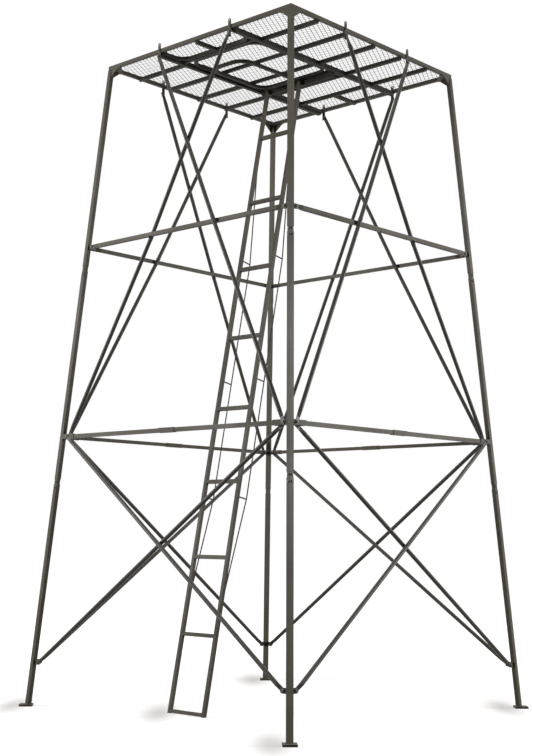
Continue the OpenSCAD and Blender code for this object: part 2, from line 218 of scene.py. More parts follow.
def coat_grain_group() -> NodeGroup:
    """The orange-peel skin of a powder coat, as a height.

    Returns:
        A group that puts out the height.
    """
    group = NodeGroup("coat_grain", {"Peel": 160.0, "Depth": 1.0}, {"Height": "NodeSocketFloat"})
    place = group.node("ShaderNodeTexCoord")
    peel = group.node("ShaderNodeTexVoronoi", feature="SMOOTH_F1")
    group.link(place.outputs["Object"], peel.inputs["Vector"])
    group.link(group.enter.outputs["Peel"], peel.inputs["Scale"])
    grain = group.node("ShaderNodeTexNoise")
    grain.inputs["Scale"].default_value = 900.0
    group.link(place.outputs["Object"], grain.inputs["Vector"])
    both = group.node("ShaderNodeMath", operation="MULTIPLY_ADD")
    group.link(grain.outputs["Fac"], both.inputs[0])
    both.inputs[1].default_value = 0.4
    group.link(peel.outputs["Distance"], both.inputs[2])
    depth = group.node("ShaderNodeMath", operation="MULTIPLY")
    group.link(both.outputs[0], depth.inputs[0])
    group.link(group.enter.outputs["Depth"], depth.inputs[1])
    group.link(depth.outputs[0], group.leave.inputs["Height"])
    return group


def settled_dust_group() -> NodeGroup:
    """Pale dust that settles on faces that look up, in soft patches.

    Returns:
        A group that puts out the dusted colour and roughness.
    """
    group = NodeGroup(
        "settled_dust",
        {"Colour": (0.1, 0.1, 0.1, 1.0), "Dust": (0.42, 0.39, 0.33, 1.0), "Amount": 0.3,
         "Roughness": 0.5},
        {"Colour": "NodeSocketColor", "Roughness": "NodeSocketFloat"},
    )
    place = group.node("ShaderNodeTexCoord")
    shape = group.node("ShaderNodeNewGeometry")
    split = group.node("ShaderNodeSeparateXYZ")
    group.link(shape.outputs["Normal"], split.inputs[0])
    up = group.node("ShaderNodeMapRange")
    set_inputs(up, {"From Min": 0.35, "From Max": 1.0})
    group.link(split.outputs["Z"], up.inputs["Value"])
    patch = group.node("ShaderNodeTexNoise")
    set_inputs(patch, {"Scale": 14.0, "Detail": 5.0})
    group.link(place.outputs["Object"], patch.inputs["Vector"])
    share = group.node("ShaderNodeMath", operation="MULTIPLY")
    group.link(up.outputs["Result"], share.inputs[0])
    group.link(patch.outputs["Fac"], share.inputs[1])
    amount = group.node("ShaderNodeMath", operation="MULTIPLY", use_clamp=True)
    group.link(share.outputs[0], amount.inputs[0])
    group.link(group.enter.outputs["Amount"], amount.inputs[1])
    mix = group.node("ShaderNodeMix", data_type="RGBA")
    group.link(amount.outputs[0], mix.inputs["Factor"])
    group.link(group.enter.outputs["Colour"], mix.inputs[6])
    group.link(group.enter.outputs["Dust"], mix.inputs[7])
    group.link(mix.outputs[2], group.leave.inputs["Colour"])
    rough = group.node("ShaderNodeMath", operation="MULTIPLY_ADD", use_clamp=True)
    group.link(amount.outputs[0], rough.inputs[0])
    rough.inputs[1].default_value = 0.5
    group.link(group.enter.outputs["Roughness"], rough.inputs[2])
    group.link(rough.outputs[0], group.leave.inputs["Roughness"])
    return group


def scuff_group() -> NodeGroup:
    """Small rubbed spots where a coat is thin and paler.

    Returns:
        A group that puts out the rubbed colour and a mask.
    """
    group = NodeGroup(
        "rubbed_spots",
        {"Colour": (0.1, 0.1, 0.1, 1.0), "Bare": (0.3, 0.29, 0.27, 1.0), "Scale": 9.0,
         "Amount": 0.2},
        {"Colour": "NodeSocketColor", "Mask": "NodeSocketFloat"},
    )
    place = group.node("ShaderNodeTexCoord")
    area = group.node("ShaderNodeTexNoise")
    area.inputs["Detail"].default_value = 2.0
    group.link(place.outputs["Object"], area.inputs["Vector"])
    group.link(group.enter.outputs["Scale"], area.inputs["Scale"])
    specks = group.node("ShaderNodeTexNoise")
    set_inputs(specks, {"Scale": 230.0, "Detail": 6.0})
    group.link(place.outputs["Object"], specks.inputs["Vector"])
    both = group.node("ShaderNodeMath", operation="MULTIPLY")
    group.link(area.outputs["Fac"], both.inputs[0])
    group.link(specks.outputs["Fac"], both.inputs[1])
    cut = group.node("ShaderNodeMapRange")
    set_inputs(cut, {"From Min": 0.38, "From Max": 0.46})
    group.link(both.outputs[0], cut.inputs["Value"])
    amount = group.node("ShaderNodeMath", operation="MULTIPLY", use_clamp=True)
    group.link(cut.outputs["Result"], amount.inputs[0])
    group.link(group.enter.outputs["Amount"], amount.inputs[1])
    mix = group.node("ShaderNodeMix", data_type="RGBA")
    group.link(amount.outputs[0], mix.inputs["Factor"])
    group.link(group.enter.outputs["Colour"], mix.inputs[6])
    group.link(group.enter.outputs["Bare"], mix.inputs[7])
    group.link(mix.outputs[2], group.leave.inputs["Colour"])
    group.link(amount.outputs[0], group.leave.inputs["Mask"])
    return group


@dataclass
class Effects:
    """The shader effects that the finishes share."""

    tone: NodeGroup = field(default_factory=coat_tone_group)
    grain: NodeGroup = field(default_factory=coat_grain_group)
    dust: NodeGroup = field(default_factory=settled_dust_group)
    scuffs: NodeGroup = field(default_factory=scuff_group)


# ------------------------------------------------------------------------------ finishes


@dataclass(frozen=True)
class CoatFinish:
    """A sprayed or plated finish on steel."""

    name: str
    base: Colour
    deep: Colour
    roughness: float = 0.42
    metallic: float = 0.0
    coat: float = 0.0
    specular: float = 0.15
    tone_scale: float = 3.0
    tone_amount: float = 0.6
    peel: float = 160.0
    bump: float = 0.12
    bump_distance: float = 0.0006
    dust: float = 0.25
    scuff: float = 0.35
    bare: Colour = (0.3, 0.29, 0.27)

    def build(self, effects: Effects) -> bpy.types.Material:
        """Makes the material.

        Args:
            effects: the shared shader effects.

        Returns:
            The material.
        """
        material = bpy.data.materials.new(self.name)
        material.use_nodes = True
        tree = material.node_tree
        shader = next(n for n in tree.nodes if n.type == "BSDF_PRINCIPLED")
        set_inputs(shader, {"Metallic": self.metallic, "Coat Weight": self.coat,
                            "Coat Roughness": 0.25, "Specular IOR Level": self.specular})
        tone = effects.tone.place_in(tree, {
            "Base": (*self.base, 1.0), "Deep": (*self.deep, 1.0), "Scale": self.tone_scale,
            "Amount": self.tone_amount, "Roughness": self.roughness})
        spots = effects.scuffs.place_in(tree, {"Bare": (*self.bare, 1.0), "Amount": self.scuff})
        dust = effects.dust.place_in(tree, {"Amount": self.dust})
        grain = effects.grain.place_in(tree, {"Peel": self.peel})
        bump = add_node(tree, "ShaderNodeBump")
        set_inputs(bump, {"Strength": self.bump, "Distance": self.bump_distance})
        link = tree.links.new
        link(tone.outputs["Colour"], spots.inputs["Colour"])
        link(spots.outputs["Colour"], dust.inputs["Colour"])
        link(tone.outputs["Roughness"], dust.inputs["Roughness"])
        link(dust.outputs["Colour"], shader.inputs["Base Color"])
        link(dust.outputs["Roughness"], shader.inputs["Roughness"])
        link(grain.outputs["Height"], bump.inputs["Height"])
        link(bump.outputs["Normal"], shader.inputs["Normal"])
        return material


TUBE_COAT = CoatFinish("olive_tube_coat", (0.099, 0.087, 0.063), (0.042, 0.037, 0.027))
BRACE_COAT = CoatFinish("olive_brace_coat", (0.062, 0.056, 0.043), (0.024, 0.022, 0.016),
                        roughness=0.32, coat=0.08, specular=0.18)
# Coat of the deck's beams, joists, panels and hatch frame. It is darker than the tubes' coat partly
# as painted shade, standing in for the shade under the deck.
DECK_COAT_AND_SHADE = CoatFinish("deck_coat_and_painted_shade", (0.048, 0.045, 0.036), (0.028, 0.026, 0.021),
                       specular=0.08, dust=0.4)
# Coat of the deck's mesh strands. It is darker than the tubes' coat partly as painted shade,
# standing in for the shade under the deck.
MESH_COAT_AND_SHADE = CoatFinish("mesh_coat_and_painted_shade", (0.060, 0.057, 0.047), (0.035, 0.033, 0.028),
                       roughness=0.5, tone_scale=8.0, bump=0.2, dust=0.5)
ROD_COAT = CoatFinish("dark_rod_coat", (0.060, 0.055, 0.044), (0.034, 0.031, 0.025),
                      roughness=0.36)
BOLT_ZINC = CoatFinish("dull_bolt_steel", (0.115, 0.108, 0.095), (0.06, 0.057, 0.05),
                       metallic=0.5, tone_scale=60.0, peel=500.0, dust=0.15, scuff=0.5)
WELD_COAT = CoatFinish("coated_weld", (0.098, 0.092, 0.076), (0.060, 0.056, 0.046),
                       roughness=0.45, tone_scale=40.0, bump=0.3)


# ------------------------------------------------------------------------- mesh building


class MeshBuilder:
    """Gathers vertices and faces of one piece and makes its object."""

    def __init__(self, name: str) -> None:
        """Starts an empty piece.

        Args:
            name: the piece's name.
        """
        self.name = name
        self.points: list[Vector] = []
        self.faces: list[tuple[int, ...]] = []

    def ring_tube(self, rings: Sequence[Sequence[Vector]]) -> None:
        """Adds a skin through rings of equal length, with a flat cap on both ends.

        Args:
            rings: the rings, each a list of points.
        """
        start = len(self.points)
        count = len(rings[0])
        for ring in rings:
            self.points.extend(ring)
        for i in range(len(rings) - 1):
            low = start + i * count
            for j in range(count):
                k = (j + 1) % count
                self.faces.append((low + j, low + k, low + count + k, low + count + j))
        self.faces.append(tuple(start + j for j in reversed(range(count))))
        top = start + (len(rings) - 1) * count
        self.faces.append(tuple(top + j for j in range(count)))

    def finish(self, material: bpy.types.Material, body: str = TOWER, slot: Slot = Slot.FRAME
               ) -> bpy.types.Object:
        """Makes the object, dresses it and lets it ride on a body.

        Args:
            material: the finish.
            body: the body that the piece rides on.
            slot: not used.

        Returns:
            The new object.
        """
        mesh = bpy.data.meshes.new(self.name)
        mesh.from_pydata([tuple(p) for p in self.points], [], self.faces)
        work = bmesh.new()
        work.from_mesh(mesh)
        bmesh.ops.recalc_face_normals(work, faces=work.faces)
        for face in work.faces:
            face.smooth = True
        for edge in work.edges:
            edge.smooth = len(edge.link_faces) == 2 and edge.calc_face_angle(0.0) < SMOOTH_LIMIT
        work.to_mesh(mesh)
        work.free()
        mesh.materials.append(material)
        piece = bpy.data.objects.new(self.name, mesh)
        bpy.context.scene.collection.objects.link(piece)
        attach(piece, body)
        LOG.info("%s: %d faces on %s", self.name, len(mesh.polygons), body)
        return piece


def axes_of(direction: Vector) -> Matrix:
    """A turn whose Z axis lies along a direction.

    Args:
        direction: the direction.

    Returns:
        A 3x3 turn.
    """
    z = direction.normalized()
    helper = Vector((0, 0, 1)) if abs(z.z) < 0.9 else Vector((1, 0, 0))
    x = helper.cross(z).normalized()
    return Matrix((x, z.cross(x), z)).transposed()


def circle(centre: Vector, turn: Matrix, radius: float, count: int, phase: float = 0.0
           ) -> list[Vector]:
    """Points round a circle.

    Args:
        centre: the circle's centre.
        turn: axes of the circle, its normal along Z.
        radius: the radius.
        count: how many points.
        phase: angle of the first point.

    Returns:
        The points.
    """
    angles = [phase + math.tau * i / count for i in range(count)]
    return [centre + turn @ Vector((radius * math.cos(a), radius * math.sin(a), 0)) for a in angles]


def add_bolt(builder: MeshBuilder, seat: Vector, outward: Vector, size: float = 0.0065,
             spin: float = 0.0) -> None:
    """Adds a hexagon head with a chamfer on a round washer.

    Args:
        builder: the piece that it goes into.
        seat: the point on the surface under the washer.
        outward: the way the head looks.
        size: half the head's width across its corners.
        spin: turn of the head about its own axis.
    """
    turn = axes_of(outward)
    out = outward.normalized()
    washer, flat = size * 1.35, size * 0.22
    builder.ring_tube([circle(seat - out * 0.001, turn, washer, 20),
                       circle(seat + out * flat * 0.8, turn, washer, 20),
                       circle(seat + out * flat, turn, washer * 0.94, 20)])
    base, height = seat + out * flat * 0.9, size * 0.85
    builder.ring_tube([circle(base, turn, size, 6, spin),
                       circle(base + out * height * 0.85, turn, size, 6, spin),
                       circle(base + out * height, turn, size * 0.86, 6, spin)])


def add_weld(builder: MeshBuilder, start: Vector, end: Vector, radius: float, rng: Random) -> None:
    """Adds a weld bead of overlapping ripples along a straight seam.

    Args:
        builder: the piece that it goes into.
        start: one end of the seam.
        end: the other end.
        radius: the bead's radius.
        rng: source of the ripples' small differences.
    """
    run = end - start
    turn = axes_of(run)
    steps = max(3, round(run.length / (radius * 0.9)))
    rings = []
    for i in range(2 * steps + 1):
        t = i / (2 * steps)
        swell = 1.0 if i % 2 else 0.78
        swell *= 0.45 if i in (0, 2 * steps) else 1.0
        swell *= rng.uniform(0.92, 1.08)
        rings.append(circle(start + run * t, turn, radius * swell, 7))
    builder.ring_tube(rings)


# ------------------------------------------------------------------------ tower geometry


@dataclass(frozen=True)
class TowerShape:
    """Sizes of the tower that the added pieces are placed by.

    The first three are read from the frame's boxes, and the last two are tube sizes.
    """

    deck_h: float
    half_deck: float
    base: float
    leg: float = 0.025
    rail: float = 0.020

    @property
    def lower_ring(self) -> float:
        """Level of the lower girts."""
        return 0.4065 * self.deck_h

    @property
    def upper_ring(self) -> float:
        """Level of the upper girts."""
        return 0.7045 * self.deck_h

    @property
    def brace_foot(self) -> float:
        """Level of the lower braces' bottom tabs."""
        return 0.0652 * self.deck_h

    @property
    def top(self) -> float:
        """Distance of the leg's centre from the middle at the deck."""
        return self.half_deck - self.leg / 2

    @property
    def slope(self) -> float:
        """How far a leg leans inward for each metre up."""
        return (self.base - self.top) / self.deck_h

    @property
    def lean(self) -> float:
        """Angle of each leaning side from upright."""
        return math.atan(self.slope)

    def reach(self, z: float) -> float:
        """Distance of the leg's centre from the middle at a level."""
        return self.base - self.slope * z

    def side(self, k: int, across: float, z: float, out: float) -> Vector:
        """A point of a leaning side.

        Args:
            k: the side: 0 front, 1 right, 2 back, 3 left.
            across: distance from the side's middle line.
            z: level of the point's foot on the side's own plane.
            out: distance outward from that plane.

        Returns:
            The point.
        """
        y = -self.reach(z) - out * math.cos(self.lean)
        point = Vector((across, y, z + out * math.sin(self.lean)))
        return Matrix.Rotation(k * math.pi / 2, 3, "Z") @ point

    def outward(self, k: int) -> Vector:
        """The outward direction of a leaning side."""
        out = Vector((0, -math.cos(self.lean), math.sin(self.lean)))
        return Matrix.Rotation(k * math.pi / 2, 3, "Z") @ out


def read_shape() -> TowerShape:
    """Reads the tower's driving sizes from the frame.

    Returns:
        The sizes.
    """
    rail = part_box("deck_rail_front")
    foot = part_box("leg_front_right_lower")
    corner = (FOOT_OUT + FOOT_HALF_WIDTH) * math.sqrt(0.5)
    return TowerShape(deck_h=rail[1][2], half_deck=rail[1][0], base=foot[1][0] - corner)


# -------------------------------------------------------------------------- sub-assemblies


@dataclass
class CarriedFrame:
    """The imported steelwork: softened edges and a finish on every piece."""

    coats: dict[str, bpy.types.Material]
    edge: float = 0.0016

    def coat_for(self, node: str) -> bpy.types.Material:
        """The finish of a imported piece."""
        for start, coat in self.coats.items():
            if node.startswith(start):
                return coat
        return self.coats[""]

    def dress(self) -> None:
        """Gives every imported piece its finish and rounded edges."""
        for name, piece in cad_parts.items():
            piece.data.materials.clear()
            piece.data.materials.append(self.coat_for(name))
            soften = piece.modifiers.new("round_edges", "BEVEL")
            soften.width = self.edge
            soften.segments = 2
            soften.limit_method = "ANGLE"
            soften.angle_limit = math.radians(50)
            soften.harden_normals = False
            LOG.info("dressed %s", name)


@dataclass
class StretchedMesh:
    """Expanded steel mesh: zigzag strands that meet at bonds, cut to a panel's outline."""

    material: bpy.types.Material
    width: float = 0.028
    length: float = 0.052
    strand: float = 0.0027
    thick: float = 0.0012
    tilt: float = 0.36

    def strand_piece(self, builder: MeshBuilder, a: Vector, b: Vector) -> None:
        """Adds one straight strand with a flat section that leans the way the sheet was drawn.

        Args:
            builder: the panel's builder.
            a: one end.
            b: the other end.
        """
        run = (b - a).normalized()
        flat = Vector((0, 0, 1)).cross(run).normalized()
        w = (flat * math.cos(self.tilt) + Vector((0, 0, 1)) * math.sin(self.tilt)) * self.strand / 2
        t = run.cross(w).normalized() * self.thick / 2
        over = run * self.strand * 0.35
        builder.ring_tube([[p + w + t, p - w + t, p - w - t, p + w - t]
                           for p in (a - over, b + over)])

    def fill(self, name: str, node: str, body: str, inside: PanelTest) -> None:
        """Fills a packed sheet's outline with mesh and stands for that sheet.

        Args:
            name: the new piece's name.
            node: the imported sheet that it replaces.
            body: the body that it rides on.
            inside: whether a point lies on the panel.
        """
        low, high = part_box(node)
        z = (low[2] + high[2]) / 2
        builder = MeshBuilder(name)
        pitch = self.width / 2
        half = self.length / 2
        first = math.floor(low[0] / pitch) - 1
        last = math.ceil(high[0] / pitch) + 1
        rows = range(math.floor(low[1] / half) - 1, math.ceil(high[1] / half) + 1)
        for column in range(first, last + 1):
            for row in rows:
                shift = pitch / 2 if (column + row) % 2 else -pitch / 2
                a = Vector((column * pitch + shift, row * half, z))
                b = Vector((column * pitch - shift, (row + 1) * half, z))
                cut = self.clip(a, b, inside)
                if cut is not None:
                    self.strand_piece(builder, *cut)
        piece = builder.finish(self.material, body, Slot.MESH)
        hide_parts(node)

    @staticmethod
    def clip(a: Vector, b: Vector, inside: PanelTest) -> tuple[Vector, Vector] | None:
        """Cuts a strand at the panel's outline.

        Args:
            a: one end.
            b: the other end.
            inside: whether a point lies on the panel.

        Returns:
            The kept stretch, or None where too little of it is left.
        """
        in_a, in_b = inside(a.x, a.y), inside(b.x, b.y)
        if not in_a and not in_b:
            return None
        if in_a and in_b:
            return a, b
        good, bad = (a, b) if in_a else (b, a)
        low, high = 0.0, 1.0
        for _ in range(12):
            middle = (low + high) / 2
            point = good.lerp(bad, middle)
            if inside(point.x, point.y):
                low = middle
            else:
                high = middle
        if low < 0.08:
            return None
        return good, good.lerp(bad, low)


@dataclass
class DeckMesh:
    """The deck's four fixed mesh panels and the hatch's own."""

    mesh: StretchedMesh
    margin: float = 0.002
    hatch_corner: float = 0.089
    hinge_x: float = -0.275
    hinge_half: tuple[float, float] = (0.029, 0.048)
    hinge_y: tuple[float, float] = (-0.330, -0.040)

    def clear_of_hinges(self, x: float, y: float) -> bool:
        """Whether a point lies clear of the hatch hinges' leaves."""
        wide, long = self.hinge_half
        return abs(x - self.hinge_x) > wide or all(abs(y - at) > long for at in self.hinge_y)

    def rectangle(self, node: str) -> PanelTest:
        """A test for points on a rectangular panel."""
        low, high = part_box(node)
        m = self.margin
        return lambda x, y: (low[0] + m < x < high[0] - m and low[1] + m < y < high[1] - m
                             and self.clear_of_hinges(x, y))

    def round_panel(self, node: str) -> PanelTest:
        """A test for points on a panel with round corners."""
        low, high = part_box(node)
        r = self.hatch_corner

        def inside(x: float, y: float) -> bool:
            """Whether a point lies on the panel."""
            dx = max(low[0] + r - x, x - high[0] + r, 0.0)
            dy = max(low[1] + r - y, y - high[1] + r, 0.0)
            return dx * dx + dy * dy < (r - self.margin) ** 2 and self.clear_of_hinges(x, y)

        return inside

    def build(self) -> None:
        """Builds every panel."""
        for part in ("left", "right", "front", "back"):
            node = f"deck_mesh_{part}"
            self.mesh.fill(f"stretched_mesh_{part}", node, TOWER, self.rectangle(node))
        self.mesh.fill("stretched_mesh_hatch", "hatch_mesh", HATCH, self.round_panel("hatch_mesh"))


@dataclass
class Fasteners:
    """Bolts at the sockets, tabs, straps and section joints."""

    shape: TowerShape
    material: bpy.types.Material

    def build(self) -> None:
        """Builds the bolts, one piece for each kind of joint."""
        self.socket_bolts()
        self.tab_bolts()
        self.strap_bolts()
        self.joint_bolts()

    def socket_bolts(self) -> None:
        """Bolts through the lower ring's sockets, one for each brace end."""
        s = self.shape
        z = s.lower_ring
        builder = MeshBuilder("lower_ring_bolts")
        half = SOCKET_SIZE / 2 + 0.0032     # on the flat end of a brace
        for k in range(4):
            out = s.outward(k)
            for m in (-1, 1):
                upper_way = 1 if (m > 0) == (k % 2 == 0) else -1
                for inset, way in ((LOWER_BRACE_BOLT, -upper_way), (UPPER_BRACE_BOLT, upper_way)):
                    point = s.side(k, m * (s.reach(z) - inset), z, way * half)
                    add_bolt(builder, point, out * way, spin=0.4 * k + m)
        builder.finish(self.material)

    def tab_bolts(self) -> None:
        """Bolts at the bottom brace tabs and at the upper girts' ends."""
        s = self.shape
        low, high = s.brace_foot, s.upper_ring
        lower = MeshBuilder("brace_tab_bolts")
        upper = MeshBuilder("upper_girt_bolts")
        for k in range(4):
            out = s.outward(k)
            for m in (-1, 1):
                way = 1 if (m > 0) == (k % 2 == 0) else -1
                across = m * (s.reach(low) - s.leg / 2 - TAB_BOLT)
                add_bolt(lower, s.side(k, across, low, way * 0.0052), out * way, 0.006, 0.3 * k)
                add_bolt(lower, s.side(k, across, low, -way * 0.002), out * -way, 0.006, 0.5)
                across = m * (s.reach(high) - s.leg / 2 - TAB_BOLT)
                add_bolt(upper, s.side(k, across, high, 0.005), out, 0.007, 0.2 + k)
                add_bolt(upper, s.side(k, across, high, -0.0042), -out, 0.007, 0.7)
        lower.finish(self.material)
        upper.finish(self.material)

    def strap_bolts(self) -> None:
        """Bolts that hold the braces' top ends and the straps to the rails."""
        s = self.shape
        builder = MeshBuilder("hook_strap_bolts")
        for k in range(4):
            turn = Matrix.Rotation(k * math.pi / 2, 3, "Z")
            out = turn @ Vector((0, -1, 0))
            for m in (-1, 1):
                seat = Vector((m * HOOK_X, -s.half_deck - 2 * STRAP_THICK, s.deck_h - STRAP_DROP))
                add_bolt(builder, turn @ seat, out, 0.0075, 0.3 + k)
                seat = Vector((m * HOOK_X, -s.half_deck - STRAP_THICK, s.deck_h - s.rail / 2))
                add_bolt(builder, turn @ seat, out, 0.0055, 0.6)
        builder.finish(self.material)

    def joint_bolts(self) -> None:
        """Bolts through each leg just above and below its section joints."""
        s = self.shape
        builder = MeshBuilder("leg_joint_bolts")
        for k in range(4):
            for joint in (s.deck_h / 3, s.deck_h * 2 / 3):
                for z, inset in ((joint - 0.018, 0.0), (joint + 0.016, SWAGE_INSET)):
                    for side in (k, k + 1):
                        m = 1 if side == k else -1
                        across = m * s.reach(z)
                        point = s.side(side % 4, across, z, s.leg / 2 - inset)
                        add_bolt(builder, point, s.outward(side % 4), 0.0055, 0.4 * k)
        builder.finish(self.material)


@dataclass
class Welds:
    """Weld beads at the legs' brackets, the deck's joists and the ladder's rungs."""

    shape: TowerShape
    material: bpy.types.Material
    radius: float = 0.0022
    rng: Random = field(default_factory=lambda: Random(7))

    def build(self) -> None:
        """Builds the beads, one piece for each kind of seam."""
        self.socket_seams()
        self.foot_seams()
        self.joist_seams()
        self.rung_seams()

    def bead(self, builder: MeshBuilder, start: Vector, end: Vector) -> None:
        """Adds one bead."""
        add_weld(builder, start, end, self.radius, self.rng)

    def socket_seams(self) -> None:
        """Seams where the sockets meet the legs."""
        s = self.shape
        builder = MeshBuilder("socket_welds")
        for k in range(4):
            for m in (-1, 1):
                for e in (-1, 1):
                    z = s.lower_ring + e * SOCKET_SIZE / 2
                    across = m * (s.reach(z) - s.leg / 2)
                    self.bead(builder, s.side(k, across, z, -0.011), s.side(k, across, z, 0.011))
        builder.finish(self.material)

    def foot_seams(self) -> None:
        """Seams round the legs on their foot plates."""
        s = self.shape
        builder = MeshBuilder("foot_welds")
        r = s.leg / 2
        z = FOOT_THICK + 0.0005
        for sx in (-1, 1):
            for sy in (-1, 1):
                x, y = sx * s.reach(z), sy * s.reach(z)
                ring = [Vector((x + a * r, y + b * r, z)) for a, b in
                        ((-1, -1), (1, -1), (1, 1), (-1, 1))]
                for i in range(4):
                    self.bead(builder, ring[i], ring[(i + 1) % 4])
        builder.finish(self.material)

    def joist_seams(self) -> None:
        """Seams where the joists meet the rails and beams."""
        builder = MeshBuilder("deck_welds")
        s = self.shape
        z = s.deck_h - JOIST_FOOT
        for m in (-1, 1):
            for i in range(SIDE_JOISTS):
                y = (i - SIDE_JOISTS // 2) * JOIST_GAP
                for x in (BEAM_FACE_X, s.half_deck - s.rail - 0.0004):
                    self.bead(builder, Vector((m * x, y - JOIST_HALF, z)),
                              Vector((m * x, y + JOIST_HALF, z)))
        builder.finish(self.material)

    def rung_seams(self) -> None:
        """Seams on both ends of each rung."""
        builder = MeshBuilder("rung_welds")
        left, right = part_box("ladder_stile_left"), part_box("ladder_stile_right")
        rise = self.shape.deck_h / (RUNG_STEPS - TOP_STEP_CUT)
        lean = (left[1][1] - left[0][1] - 2 * TUBE_HALF) / left[1][2]
        for i in range(1, RUNG_STEPS):
            z = i * rise
            y = left[0][1] + TUBE_HALF + lean * z
            for x in (left[1][0], right[0][0]):
                for e in (-1, 1):
                    start = Vector((x, y - 0.009, z + e * TUBE_HALF))
                    self.bead(builder, start, start + Vector((0, 0.018, 0)))
        builder.finish(self.material)


# --------------------------------------------------------------------------------- studio


def backdrop_rays(tree: bpy.types.NodeTree) -> bpy.types.NodeSocket:
    """Adds a mask of the rays that see the white backdrop: camera, gloss and glass.

    Args:
        tree: the node tree.

    Returns:
        The mask's socket.
    """
    path = add_node(tree, "ShaderNodeLightPath")
    first = add_node(tree, "ShaderNodeMath", operation="ADD", use_clamp=True)
    second = add_node(tree, "ShaderNodeMath", operation="ADD", use_clamp=True)
    tree.links.new(path.outputs["Is Camera Ray"], first.inputs[0])
    tree.links.new(path.outputs["Is Glossy Ray"], first.inputs[1])
    tree.links.new(first.outputs[0], second.inputs[0])
    tree.links.new(path.outputs["Is Transmission Ray"], second.inputs[1])
    return second.outputs[0]


def shade_patch_group() -> NodeGroup:
    """A soft patch of shade that lies beside a foot.

    Returns:
        A group that puts out the patch's depth at a place.
    """
    group = NodeGroup(
        "shade_patch",
        {"Place": (0.0, 0.0, 0.0), "Centre": (0.0, 0.0, 0.0), "Reach": (0.150, 0.56, 1.0),
         "Depth": 0.42},
        {"Shade": "NodeSocketFloat"},
    )
    away = group.node("ShaderNodeVectorMath", operation="SUBTRACT")
    group.link(group.enter.outputs["Place"], away.inputs[0])
    group.link(group.enter.outputs["Centre"], away.inputs[1])
    scaled = group.node("ShaderNodeVectorMath", operation="DIVIDE")
    group.link(away.outputs["Vector"], scaled.inputs[0])
    group.link(group.enter.outputs["Reach"], scaled.inputs[1])
    far = group.node("ShaderNodeVectorMath", operation="LENGTH")
    group.link(scaled.outputs["Vector"], far.inputs[0])
    soft = group.node("ShaderNodeMapRange", interpolation_type="SMOOTHSTEP")
    set_inputs(soft, {"From Min": 0.0, "From Max": 1.0, "To Min": 1.0, "To Max": 0.0})
    group.link(far.outputs["Value"], soft.inputs["Value"])
    amount = group.node("ShaderNodeMath", operation="MULTIPLY")
    group.link(soft.outputs["Result"], amount.inputs[0])
    group.link(group.enter.outputs["Depth"], amount.inputs[1])
    group.link(amount.outputs[0], group.leave.inputs["Shade"])
    return group


